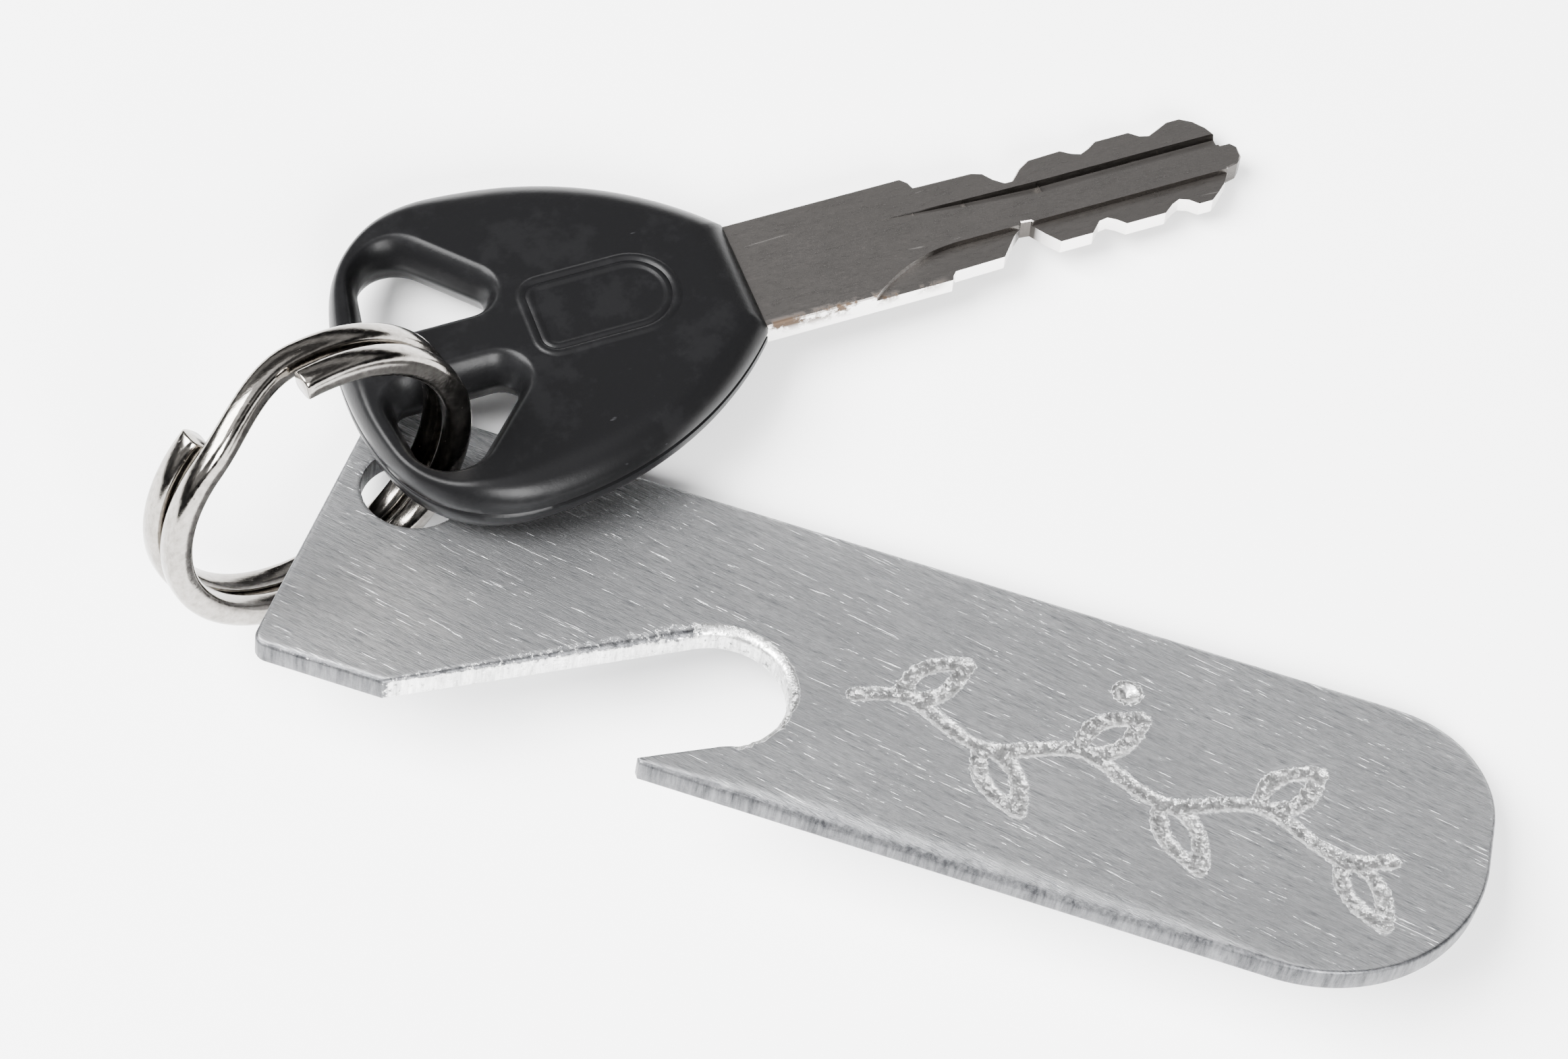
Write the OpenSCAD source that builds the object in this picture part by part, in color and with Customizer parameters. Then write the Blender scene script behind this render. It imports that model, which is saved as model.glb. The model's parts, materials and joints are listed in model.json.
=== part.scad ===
// Bottle opener cut from a flat bar, with a split ring and a key on the ring.
// The shapes are drawn in the bar's own frame: X runs along the bar from its ring end, Y across it
// and Z out of its upper face. rest() then lays the linked parts down as they stand on a table.

/* [Opener plate] */
// Width of the flat bar
plate_w = 25; // [22:0.5:30]
// Thickness of the flat bar
plate_t = 2; // [1.5:0.1:2.2]
// Overall length of the bar
plate_l = 86.2; // [80:0.2:100]
// Radius of the large rounded corner on the tooth side
end_r_near = 13; // [12.5:0.1:13]
// Radius of the rounded corner on the plain side
end_r_far = 8; // [5:0.5:9]

/* [Crown-cap notch] */
// Distance of the hook's point from the ring end
hook_x = 9.7; // [8:0.1:12]
// Distance of the tooth's point from the ring end
tooth_x = 28; // [26:0.1:30]
// Radius of the notch's rounded bottom
notch_r = 5; // [4:0.1:5.2]
// Distance of the notch's round bottom from the ring end
notch_x = 31.4; // [31:0.1:33]
// Depth of the notch's centre from the bar's edge
notch_depth = 8.3; // [7.5:0.1:9]

/* [Ring hole] */
// Diameter of the drilled hole
hole_d = 7.5; // [7.5:0.1:8]
// Distance of the hole from the ring end
hole_x = 5.4; // [5.2:0.1:7]
// Distance of the hole from the bar's centre line
hole_y = 5.05; // [4:0.05:6]

/* [Split ring] */
// Outside diameter of the ring
ring_od = 24.8; // [24.4:0.2:25.2]
// Thickness of the wire across the loop
wire_w = 2; // [1.8:0.1:2]
// Thickness of the wire along the ring's axis
wire_h = 1.9; // [1.7:0.1:2]
// Gap that the bent wire leaves between its two coils
coil_gap = 0.4; // [0.2:0.1:0.5]
// Height of the ring's centre over the bar's upper face
ring_z = 6.2; // [6:0.1:6.4]
// Heading of the ring's plane, measured from the bar's length
ring_heading = 53.5; // [50:0.5:55]

/* [Key] */
// Width of the blade where it leaves the head
blade_w = 10; // [9:0.1:10.4]
// Thickness of the blade
blade_t = 2; // [1.8:0.1:2.2]
// Length of the blade outside the head
blade_l = 40; // [39:0.5:41]
// Length of the moulded head
head_l = 31; // [30.8:0.1:31.4]
// Width of the moulded head
head_w = 29; // [28.6:0.1:29.4]
// Thickness of the moulded head
head_t = 5.2; // [4.8:0.1:5.2]

/* [Resting pose] */
// Angle that the bar leans over on its plain edge
lean = 19.4; // [19:0.1:19.8]
// Heading of the key, measured from the bar's length
key_heading = 36.6; // [36:0.1:37]
// Angle that the key's point rises from the bar's face
key_rise = 8; // [7.9:0.1:8.2]
// Angle that the key leans back about its own length
key_roll = 5; // [4.5:0.1:5.2]

/* [Hidden] */
eps = 0.01;

corner_r = 1;                                   // small filed corners of the bar
notch_c = [notch_x, notch_depth - plate_w / 2];
end_near_c = [plate_l - end_r_near, end_r_near - plate_w / 2];
end_far_c = [plate_l - end_r_far - 0.2, plate_w / 2 - end_r_far];

ring_r = (ring_od - wire_w) / 2;                // radius of the wire's centre line
coil_pitch = wire_h + coil_gap;
hole_dz = ring_z + plate_t / 2;                 // ring centre over the hole's middle
hole_du = sqrt(ring_r * ring_r - hole_dz * hole_dz);
ring_c = [hole_x - hole_du * cos(ring_heading), hole_y - hole_du * sin(ring_heading), ring_z];
first_end = 138;                                // angle where the wire starts, on the far coil
jog_start = 455;                                // angles between which it crosses to the near coil
jog_end = 502;
last_end = 819;                                 // angle where the wire ends, on the near coil
wire_step = 8;

key_pos = [23, 27.35, 7.45];                    // middle of the blade where it leaves the head
head_cut = 1.2;                                 // bevel around the head
tang_l = 16;
tang_w = 7.2;
bit_w = 8;                                      // width of the blade's cut part
bit_x = 14.6;                                   // where the cut part starts
strip_t = 0.7;                                  // depth of the strips milled off the blade's faces
groove_d = 0.6;

rest_mid = [38.8, 20.74];                      // middle of the resting object, before it is centred
table_z = -(plate_w / 2 * sin(lean) + plate_t * cos(lean));

// Points of an arc around c, from angle a to angle b.
function arc(c, r, a, b, n) = [for (i = [0:n]) c + r * [cos(a + (b - a) * i / n), sin(a + (b - a) * i / n)]];
// Angle of the line from p that touches a circle around c; side is 1 for its left, -1 for its right.
function touch(p, c, r, side) =
    atan2(c[1] - p[1], c[0] - p[0]) + side * asin(r / norm(c - p));
function flip(points) = [for (i = [len(points) - 1:-1:0]) [points[i][0], -points[i][1]]];

module rest() {
    translate([-rest_mid[0], -rest_mid[1], -table_z]) rotate([-lean, 0, 0]) children();
}

module on_key() {
    translate(key_pos) rotate([0, 0, key_heading]) rotate([0, -key_rise, 0]) rotate([key_roll, 0, 0]) children();
}

// ---- The flat bar ----

hook = [hook_x, -plate_w / 2];
tooth = [tooth_x, -plate_w / 2];
end_turn = atan2(end_far_c[1] - end_near_c[1], end_far_c[0] - end_near_c[0])
    - acos((end_r_near - end_r_far) / norm(end_far_c - end_near_c));

function plate_outline() = concat(
    arc([corner_r, plate_w / 2 - corner_r], corner_r, 90, 180, 6),
    arc([corner_r, -plate_w / 2 + corner_r], corner_r, 180, 270, 6),
    [hook],
    arc(notch_c, notch_r, touch(hook, notch_c, notch_r, 1) + 90, touch(tooth, notch_c, notch_r, -1) - 90, 30),
    [tooth + [0, 0.4], tooth],
    arc(end_near_c, end_r_near, -90, end_turn, 24),
    arc(end_far_c, end_r_far, end_turn, 90, 18));

module opener_plate() {
    color("silver") rest() difference() {
        translate([0, 0, -plate_t]) linear_extrude(plate_t) polygon(plate_outline());
        translate([hole_x, hole_y, -plate_t - 1]) cylinder(d = hole_d, h = plate_t + 2, $fn = 64);
    }
}

// ---- The split ring: one wire in two turns, crossing over once ----

// Place of the wire along the ring's axis at angle a.
function wire_z(a) =
    a < jog_start ? -coil_pitch / 2 :
    a > jog_end ? coil_pitch / 2 :
    -coil_pitch / 2 * cos(180 * (a - jog_start) / (jog_end - jog_start));

// Section of the wire: a flat inner face and a rounded outer one.
function wire_section() = [
    [-0.5, -0.4], [-0.4, -0.5], [0.1, -0.5], [0.38, -0.38], [0.5, -0.12],
    [0.5, 0.12], [0.38, 0.38], [0.1, 0.5], [-0.4, 0.5], [-0.5, 0.4]];

function wire_ring(a) = [for (q = wire_section())
    [(ring_r + q[0] * wire_w) * cos(a), (ring_r + q[0] * wire_w) * sin(a), wire_z(a) + q[1] * wire_h]];

module wire() {
    n = len(wire_section());
    turns = floor((last_end - first_end) / wire_step);
    points = [for (i = [0:turns]) each wire_ring(first_end + (last_end - first_end) * i / turns)];
    sides = [for (i = [0:turns - 1], k = [0:n - 1])
        [i * n + k, i * n + (k + 1) % n, (i + 1) * n + (k + 1) % n, (i + 1) * n + k]];
    polyhedron(points, concat(
        sides, [[for (k = [n - 1:-1:0]) k]], [[for (k = [0:n - 1]) turns * n + k]]));
}

module split_ring() {
    color("gainsboro") rest() translate(ring_c) rotate([0, 0, ring_heading]) rotate([90, 0, 0]) wire();
}

// ---- The key ----

// Half outline of the head, from the blade round to the middle of its back.
side_x = -20.5;                                 // widest place of the head
side_r = (side_x * side_x + pow(head_w / 2 - blade_w / 2, 2)) / (head_w - blade_w);
back_corner_r = 9.8;
back_corner_c = [side_x, head_w / 2 - back_corner_r];
back_k = head_l - back_corner_r;
back_x = (pow(back_corner_c[0], 2) + pow(back_corner_c[1], 2) - back_k * back_k) / (2 * (back_k + back_corner_c[0]));
back_turn = atan2(back_corner_c[1], back_corner_c[0] - back_x);

function head_half(inset) = concat(
    arc([side_x, head_w / 2 - side_r], side_r - inset, atan2(blade_w / 2 - head_w / 2 + side_r, -side_x), 90, 18),
    arc(back_corner_c, back_corner_r - inset, 95, back_turn, 14),
    arc([back_x, 0], head_l + back_x - inset, back_turn + 2, 180, 6));

module head_outline(inset) {
    polygon(concat(head_half(inset), flip(head_half(inset))));
}

// The two openings beside the head's middle bar: narrow in the middle, wider at both faces.
cut_bar = 2.9;                                  // half width of the bar between them
throat = concat(
    arc([-20.4, cut_bar + 1.3], 1.3, -90, 42, 6),
    arc([-25.1, 7.3], 2.6, 42, 172, 10),
    arc([-26.8, cut_bar + 1.3], 1.3, 172, 270, 5));
mouth = concat(
    arc([-20.1, cut_bar + 1], 1.4, -90, 42, 6),
    arc([-26.3, 8.1], 2.9, 42, 172, 10),
    arc([-28.6, cut_bar + 1], 1.3, 172, 270, 5));

module opening() {
    for (side = [0, 1]) mirror([0, 0, side]) hull() {
        linear_extrude(0.4) polygon(throat);
        translate([0, 0, head_t / 2 + 0.3]) linear_extrude(1) polygon(mouth);
    }
}

// Half outline of the cut blade: tops and valleys of the bitting as [distance, depth, half width].
bits = [[21.9, 1.9, 0.7], [28, 0.9, 0.6], [34.1, 0.9, 0.6]];
function blade_half() = concat(
    [[0, blade_w / 2], [bit_x - 0.5, blade_w / 2], [bit_x, bit_w / 2]],
    [for (b = bits) each [
        [b[0] - b[2] - b[1] * 0.6, bit_w / 2], [b[0] - b[2], bit_w / 2 - b[1]],
        [b[0] + b[2], bit_w / 2 - b[1]], [b[0] + b[2] + b[1] * 0.9, bit_w / 2]]],
    [[blade_l - 2.9, bit_w / 2], [blade_l - 1.2, bit_w / 2 - 1.6], [blade_l, bit_w / 2 - 3]]);

module tang() {
    difference() {
        translate([-tang_l, -tang_w / 2, -blade_t / 2]) cube([tang_l + eps, tang_w, blade_t]);
        translate([-tang_l / 2, 0, -blade_t]) cylinder(r = 1.6, h = 2 * blade_t, $fn = 32);
    }
}

// The groove and the milled strip of one face; the other face has the same, turned half round.
module face_milling() {
    translate([bit_x - 2, -blade_w, blade_t / 2 - strip_t]) cube([blade_l, blade_w - 2, blade_t]);
    translate([bit_x - 3, 0.3, blade_t / 2 - groove_d]) cube([blade_l, 1.2, blade_t]);
}

module key_blade() {
    color("darkgray") rest() on_key() union() {
        difference() {
            translate([0, 0, -blade_t / 2]) linear_extrude(blade_t)
                polygon(concat(blade_half(), flip(blade_half())));
            face_milling();
            rotate([180, 0, 0]) face_milling();
        }
        tang();
    }
}

module key_head() {
    color("dimgray") rest() on_key() difference() {
        hull() {
            translate([0, 0, -head_t / 2 + head_cut]) linear_extrude(head_t - 2 * head_cut) head_outline(0);
            translate([0, 0, -head_t / 2]) linear_extrude(head_t) head_outline(head_cut);
        }
        for (side = [0, 1]) mirror([0, side, 0]) opening();
        tang();
    }
}

opener_plate();
split_ring();
key_blade();
key_head();
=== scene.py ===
# %% [markdown]
# # A keychain bottle opener, a split ring and a key
# The opener is one flat aluminium bar that somebody sawed, drilled and filed by hand. A split ring
# goes through its hole, and a key with a moulded black head hangs on the ring. The CAD model says
# where each of them lies, so this lesson starts by reading three frames from it: the bar's, the
# ring's and the key's. Each piece is then drawn in millimetres in its own frame, lying flat, which
# is far easier than drawing it tilted, and it is turned into place only when it is finished.

# %% Load the frame
import json
import math

import bmesh
import bpy
from mathutils import Matrix, Vector, noise
from mathutils.kdtree import KDTree


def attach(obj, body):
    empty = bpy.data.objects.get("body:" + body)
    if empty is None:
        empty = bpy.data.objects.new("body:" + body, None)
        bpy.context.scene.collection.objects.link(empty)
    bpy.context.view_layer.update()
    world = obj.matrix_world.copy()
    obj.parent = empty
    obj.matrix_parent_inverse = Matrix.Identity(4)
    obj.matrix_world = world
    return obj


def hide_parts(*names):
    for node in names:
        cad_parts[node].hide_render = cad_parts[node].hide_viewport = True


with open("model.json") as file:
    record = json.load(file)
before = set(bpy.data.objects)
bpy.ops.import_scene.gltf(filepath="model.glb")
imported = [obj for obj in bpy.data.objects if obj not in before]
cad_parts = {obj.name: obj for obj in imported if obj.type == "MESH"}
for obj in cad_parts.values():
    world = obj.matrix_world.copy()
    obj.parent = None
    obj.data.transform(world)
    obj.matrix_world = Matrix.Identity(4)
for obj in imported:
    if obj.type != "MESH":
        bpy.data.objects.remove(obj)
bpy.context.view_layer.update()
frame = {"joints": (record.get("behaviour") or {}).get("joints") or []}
joints = {joint["name"]: joint for joint in frame["joints"]}
MM = 0.001

# %% The three frames
HOLE = Vector((5.4, 5.05, -1.0))          # middle of the drilled hole, in the bar's frame
BAR_T = 2.0
KEY_AT = Vector((23.0, 27.35, 7.45))      # where the blade leaves the key's head, in the bar's frame
KEY_HEADING, KEY_RISE, KEY_ROLL = 36.6, 8.0, 5.0


def frame_at(origin, x, y, z):
    """A frame that turns drawings in millimetres into places in metres."""
    turn = Matrix((x, y, z)).transposed().to_4x4()
    return Matrix.Translation(origin) @ turn @ Matrix.Scale(MM, 4)


bar_up = Vector(joints["ring_swing"]["axis"]).normalized()
bar_x = Vector((1, 0, 0))
bar_y = bar_up.cross(bar_x)
bar_turn = Matrix((bar_x, bar_y, bar_up)).transposed()
bar_origin = Vector(joints["ring_swing"]["pos_m"]) - bar_turn @ HOLE * MM
BAR = frame_at(bar_origin, bar_x, bar_y, bar_up)

ring_axis = Vector(joints["key_turn"]["axis"]).normalized()
RING = frame_at(Vector(joints["key_turn"]["pos_m"]), bar_up.cross(ring_axis), bar_up, ring_axis)

key_turn = (Matrix.Rotation(math.radians(KEY_HEADING), 4, "Z")
            @ Matrix.Rotation(math.radians(-KEY_RISE), 4, "Y")
            @ Matrix.Rotation(math.radians(KEY_ROLL), 4, "X"))
KEY = BAR @ Matrix.Translation(KEY_AT) @ key_turn
print("bar leans", round(math.degrees(math.asin(bar_up.y)), 1), "degrees on its back edge")

# %% [markdown]
# ## Camera, floor and light
# Polished metal looks like whatever stands round it, so the light is built first. A wide pale floor
# and two big soft lamps give the bright parts. The world is a stack of pale and dark bands: their
# reflections draw the black lines that make nickel look like nickel. The camera still sees a plain
# pale background, because the bands are only there for rays that have already bounced.

# %% Camera
LENS, SENSOR = 77.45, 36.0
CAMERA_AT = Vector((53.83, -150.99, 182.88))    # in the bar's frame
CAMERA_AIM = Vector((31.61, 11.69, 0.0))
CAMERA_ROLL = 4.586


def make_camera():
    data = bpy.data.cameras.new("camera")
    data.lens, data.sensor_width = LENS, SENSOR
    camera = bpy.data.objects.new("camera", data)
    bpy.context.scene.collection.objects.link(camera)
    camera.location = BAR @ CAMERA_AT
    look = (BAR @ CAMERA_AIM - camera.location).to_track_quat("-Z", "Y").to_matrix().to_4x4()
    roll = Matrix.Rotation(math.radians(CAMERA_ROLL), 4, "Z")
    camera.rotation_euler = (look @ roll).to_euler()
    bpy.context.scene.camera = camera
    return camera


camera = make_camera()
print("camera stands", round((camera.location - BAR @ CAMERA_AIM).length, 3), "m from the bar")

# %% Floor and lamps
def add_lamp(name, at, size, watts):
    """A square lamp that looks at the object."""
    data = bpy.data.lights.new(name, "AREA")
    data.shape, data.size, data.energy = "SQUARE", size, watts
    lamp = bpy.data.objects.new(name, data)
    bpy.context.scene.collection.objects.link(lamp)
    lamp.location = at
    lamp.rotation_euler = (-Vector(at)).to_track_quat("-Z", "Y").to_euler()


def make_floor():
    bpy.ops.mesh.primitive_plane_add(size=6)
    floor = bpy.context.object
    floor.name = "floor"
    paper = bpy.data.materials.new("white_paper")
    paper.use_nodes = True
    shader = paper.node_tree.nodes["Principled BSDF"]
    shader.inputs["Base Color"].default_value = (0.97, 0.97, 0.97, 1)
    shader.inputs["Roughness"].default_value = 0.9
    floor.data.materials.append(paper)


make_floor()
add_lamp("big_softbox", (-0.6, -0.15, 0.75), 0.7, 62)
add_lamp("front_softbox", (0.4, -0.55, 0.5), 0.4, 24)
print("lit with two softboxes")

# %% World
# How bright the world is at each height, from the horizon at 0 to straight up at 1.
BANDS = [(0.0, 0.6), (0.03, 0.02), (0.3, 0.03), (0.4, 0.6),
         (0.54, 0.6), (0.64, 0.12), (0.84, 0.15), (0.93, 2.0)]
SEEN_LIGHT = 2.0                          # what the camera sees behind everything


def make_world():
    world = bpy.data.worlds.new("studio")
    world.use_nodes = True
    bpy.context.scene.world = world
    nodes, links = world.node_tree.nodes, world.node_tree.links
    nodes.clear()
    output = nodes.new("ShaderNodeOutputWorld")
    seen, bounced = nodes.new("ShaderNodeBackground"), nodes.new("ShaderNodeBackground")
    mix, ray = nodes.new("ShaderNodeMixShader"), nodes.new("ShaderNodeLightPath")
    where, split = nodes.new("ShaderNodeTexCoord"), nodes.new("ShaderNodeSeparateXYZ")
    ramp = nodes.new("ShaderNodeValToRGB")
    while len(ramp.color_ramp.elements) < len(BANDS):
        ramp.color_ramp.elements.new(0.5)
    for element, (at, value) in zip(ramp.color_ramp.elements, BANDS):
        element.position, element.color = at, (value, value, value * 1.01, 1)
    seen.inputs["Color"].default_value = (SEEN_LIGHT, SEEN_LIGHT, SEEN_LIGHT, 1)
    links.new(where.outputs["Generated"], split.inputs["Vector"])
    links.new(split.outputs["Z"], ramp.inputs["Fac"])
    links.new(ramp.outputs["Color"], bounced.inputs["Color"])
    links.new(ray.outputs["Is Camera Ray"], mix.inputs["Fac"])
    links.new(bounced.outputs["Background"], mix.inputs[1])
    links.new(seen.outputs["Background"], mix.inputs[2])
    links.new(mix.outputs["Shader"], output.inputs["Surface"])


make_world()
print("world has pale and dark bands")

# %% [markdown]
# ## Shader groups that every finish shares
# All four pieces carry the same kinds of marks: a grain that runs one way, thin scratches, and
# patches of dirt or wear. Each is a node group, built once, with named sockets. A group only works
# out a pattern, as a value from 0 to 1, and the material decides what the value does.

# %% Helpers for node trees
def new_group(name, inputs, outputs):
    tree = bpy.data.node_groups.new(name, "ShaderNodeTree")
    for title, kind, value in inputs:
        socket = tree.interface.new_socket(title, in_out="INPUT", socket_type=kind)
        if value is not None:
            socket.default_value = value
    for title in outputs:
        tree.interface.new_socket(title, in_out="OUTPUT", socket_type="NodeSocketFloat")
    return tree, tree.nodes.new("NodeGroupInput"), tree.nodes.new("NodeGroupOutput")


def add(tree, kind, settings=None, **inputs):
    """Adds a node with its options. Its sockets, by name or as _0 or _1, take values or links."""
    node = tree.nodes.new(kind)
    for option, value in (settings or {}).items():
        setattr(node, option, value)
    for title, value in inputs.items():
        slot = int(title[1:]) if title[0] == "_" else title.replace("_", " ")
        if isinstance(value, bpy.types.NodeSocket):
            tree.links.new(value, node.inputs[slot])
        else:
            node.inputs[slot].default_value = value
    return node


def math_node(tree, operation, a, b=0.0):
    return add(tree, "ShaderNodeMath", {"operation": operation}, _0=a, _1=b).outputs[0]


def plus(tree, value, mask, share):
    """The value, plus a share of the mask."""
    return add(tree, "ShaderNodeMath", {"operation": "MULTIPLY_ADD"},
               _0=mask, _1=share, _2=value).outputs[0]


def spread(tree, value, low, high, to_low=0.0, to_high=1.0):
    """Maps low..high to to_low..to_high, clamped."""
    return add(tree, "ShaderNodeMapRange", {"clamp": True},
               _0=value, _1=low, _2=high, _3=to_low, _4=to_high).outputs[0]


def mix_value(tree, mask, under, over):
    return spread(tree, mask, 0.0, 1.0, under, over)


def mix_colour(tree, mask, under, over):
    return add(tree, "ShaderNodeMix", {"data_type": "RGBA"}, _0=mask, _6=under, _7=over).outputs[2]


def noise_node(tree, place, scale, detail, roughness=0.5):
    return add(tree, "ShaderNodeTexNoise", Vector=place, Scale=scale, Detail=detail, Roughness=roughness)


def vector_math(tree, operation, a, b):
    return add(tree, "ShaderNodeVectorMath", {"operation": operation}, _0=a, _1=b).outputs[0]


print("node helpers ready")

# %% The grain group
def make_grain():
    """Fine lines along one direction, as emery cloth leaves them. Stretch squeezes the pattern."""
    tree, given, out = new_group("grain", [
        ("Vector", "NodeSocketVector", None),
        ("Stretch", "NodeSocketVector", (0.1, 1, 1)),
        ("Fineness", "NodeSocketFloat", 5.0)], ["Height", "Shade"])
    place = vector_math(tree, "MULTIPLY", given.outputs["Vector"], given.outputs["Stretch"])
    fine = noise_node(tree, place, given.outputs["Fineness"], 4.0, 0.7)
    wide = math_node(tree, "MULTIPLY", given.outputs["Fineness"], 0.23)
    broad = noise_node(tree, place, wide, 2.0)
    most = math_node(tree, "MULTIPLY", fine.outputs["Fac"], 0.7)
    both = plus(tree, most, broad.outputs["Fac"], 0.3)
    tree.links.new(both, out.inputs["Height"])
    tree.links.new(spread(tree, both, 0.36, 0.64), out.inputs["Shade"])
    return tree


grain_group = make_grain()
print("made", grain_group.name)

# %% The scratch group
def make_scratches():
    """Thin lines that bend a little: only the highest places of a stretched noise show."""
    tree, given, out = new_group("scratches", [
        ("Vector", "NodeSocketVector", None),
        ("Stretch", "NodeSocketVector", (0.05, 1, 1)),
        ("Size", "NodeSocketFloat", 1.2),
        ("Amount", "NodeSocketFloat", 0.3)], ["Mask"])
    bend = noise_node(tree, given.outputs["Vector"], 0.08, 1.0)
    moved = vector_math(tree, "ADD", given.outputs["Vector"], bend.outputs["Color"])
    place = vector_math(tree, "MULTIPLY", moved, given.outputs["Stretch"])
    lines = noise_node(tree, place, given.outputs["Size"], 3.0, 0.8)
    limit = plus(tree, 0.78, given.outputs["Amount"], -0.2)
    above = math_node(tree, "SUBTRACT", lines.outputs["Fac"], limit)
    tree.links.new(spread(tree, above, 0.0, 0.05), out.inputs["Mask"])
    return tree


scratch_group = make_scratches()
print("made", scratch_group.name)

# %% The patch group
def make_patches():
    """Irregular patches with crumbly edges, for dirt, tarnish and worn places."""
    tree, given, out = new_group("patches", [
        ("Vector", "NodeSocketVector", None),
        ("Size", "NodeSocketFloat", 1.0),
        ("Amount", "NodeSocketFloat", 0.5)], ["Mask"])
    cloud = noise_node(tree, given.outputs["Vector"], given.outputs["Size"], 8.0, 0.72)
    limit = plus(tree, 0.72, given.outputs["Amount"], -0.4)
    above = math_node(tree, "SUBTRACT", cloud.outputs["Fac"], limit)
    tree.links.new(spread(tree, above, 0.0, 0.09), out.inputs["Mask"])
    return tree


patch_group = make_patches()
print("made", patch_group.name)

# %% Start of a finish
def new_finish(name, frame_of_piece):
    """A material with its shader, and the place on the piece in the piece's own millimetres."""
    material = bpy.data.materials.new(name)
    material.use_nodes = True
    tree = material.node_tree
    back = frame_of_piece.inverted()
    where = add(tree, "ShaderNodeTexCoord")
    place = add(tree, "ShaderNodeMapping", {"vector_type": "POINT"}, Vector=where.outputs["Object"])
    place.inputs["Location"].default_value = back.to_translation()
    place.inputs["Rotation"].default_value = back.to_euler()
    place.inputs["Scale"].default_value = back.to_scale()
    return material, tree, tree.nodes["Principled BSDF"], place.outputs["Vector"]


def facing(tree, frame_of_piece):
    """1 where a surface lies flat in the piece's frame, 0 where it stands on edge."""
    up = Vector((0, 0, 1))
    up.rotate(frame_of_piece.to_quaternion())
    normal = add(tree, "ShaderNodeTexCoord").outputs["Normal"]
    along = add(tree, "ShaderNodeVectorMath", {"operation": "DOT_PRODUCT"}, _0=normal, _1=up)
    return math_node(tree, "ABSOLUTE", along.outputs["Value"])


def use_group(tree, group, **inputs):
    return add(tree, "ShaderNodeGroup", {"node_tree": group}, **inputs)


def bump(tree, height, strength, depth):
    """A bump that is depth metres high where the height goes from 0 to 1."""
    return add(tree, "ShaderNodeBump", Height=height, Strength=strength,
               Distance=depth).outputs["Normal"]


print("finish helpers ready")

# %% [markdown]
# ## The bar's finish
# The face was rubbed with emery, nearly lengthwise, so its grain and the few deeper scratches run
# close to the bar's length. Wherever a file or a graver has been, the metal is fresh: lighter,
# rougher and sparkling. The mesh carries that as an attribute called cut, from 0 to 1. A patch
# pattern turns it into crumbs: the higher the value, the more of the surface is bright. Walls and
# rolled edges that nobody freshened get painted shade, a darker colour wherever the surface tilts
# away from the face, and have upright file marks.

# %% Aluminium
EMERY_SLANT = 10.5                        # degrees between the emery's strokes and the bar


def make_aluminium():
    material, tree, shader, place = new_finish("filed_aluminium", BAR)
    turned = add(tree, "ShaderNodeVectorRotate", {"rotation_type": "Z_AXIS"}, Vector=place,
                 Angle=math.radians(EMERY_SLANT)).outputs[0]
    grain = use_group(tree, grain_group, Vector=turned, Stretch=(0.09, 1.0, 1.0), Fineness=10.0)
    scratch = use_group(tree, scratch_group, Vector=turned, Stretch=(0.03, 1.0, 1.0), Size=5.5,
                        Amount=0.64)
    filed = use_group(tree, grain_group, Vector=place, Stretch=(1.0, 1.0, 0.12), Fineness=3.0)
    chips = use_group(tree, patch_group, Vector=place, Size=1.6, Amount=0.45)
    tarnish = noise_node(tree, place, 0.09, 3.0).outputs["Fac"]
    worked = add(tree, "ShaderNodeAttribute", {"attribute_name": "cut"}).outputs["Fac"]
    cut = use_group(tree, patch_group, Vector=place, Size=2.6, Amount=worked).outputs["Mask"]
    sideways = math_node(tree, "SUBTRACT", 1.0, facing(tree, BAR))
    face = mix_colour(tree, grain.outputs["Shade"], (0.145, 0.15, 0.16, 1), (0.9, 0.905, 0.915, 1))
    dull = spread(tree, tarnish, 0.35, 0.65, 0.0, 0.32)
    face = mix_colour(tree, dull, face, (0.33, 0.335, 0.345, 1))
    bright = math_node(tree, "MULTIPLY", scratch.outputs["Mask"], 0.7)
    face = mix_colour(tree, bright, face, (0.9, 0.9, 0.9, 1))
    fresh = mix_colour(tree, filed.outputs["Shade"], (0.36, 0.36, 0.36, 1), (0.95, 0.95, 0.94, 1))
    fresh = mix_colour(tree, chips.outputs["Mask"], fresh, (0.97, 0.97, 0.96, 1))
    # Painted shade: a dark copy of the filed colour, mixed in wherever the surface tilts from the face.
    wall = mix_colour(tree, filed.outputs["Shade"], (0.035, 0.036, 0.039, 1), (0.15, 0.152, 0.158, 1))
    face = mix_colour(tree, spread(tree, sideways, 0.004, 0.1), face, wall)
    tree.links.new(mix_colour(tree, cut, face, fresh), shader.inputs["Base Color"])
    rough_face = mix_value(tree, grain.outputs["Shade"], 0.46, 0.32)
    tree.links.new(mix_value(tree, cut, rough_face, 0.3), shader.inputs["Roughness"])
    face_height = plus(tree, grain.outputs["Height"], scratch.outputs["Mask"], -0.35)
    filed_height = math_node(tree, "MULTIPLY", filed.outputs["Height"], 2.2)
    cut_height = plus(tree, filed_height, chips.outputs["Mask"], 0.5)
    height = mix_value(tree, cut, face_height, cut_height)
    tree.links.new(bump(tree, height, 0.7, 0.00005), shader.inputs["Normal"])
    shader.inputs["Metallic"].default_value = 1.0
    return material


aluminium = make_aluminium()
print("made", aluminium.name)

# %% [markdown]
# ## Drawing with a pen
# Every flat piece here starts as an outline. A single vertex is a pen: extruding it draws a line, and
# spinning it draws an arc. The finished outline is then extruded ring by ring, and each new ring is
# moved inwards and upwards, which gives a rolled, chamfered or ragged edge of any width along the
# way. A Bevel modifier would be quicker, but its width can't change so freely along one edge.

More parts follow.
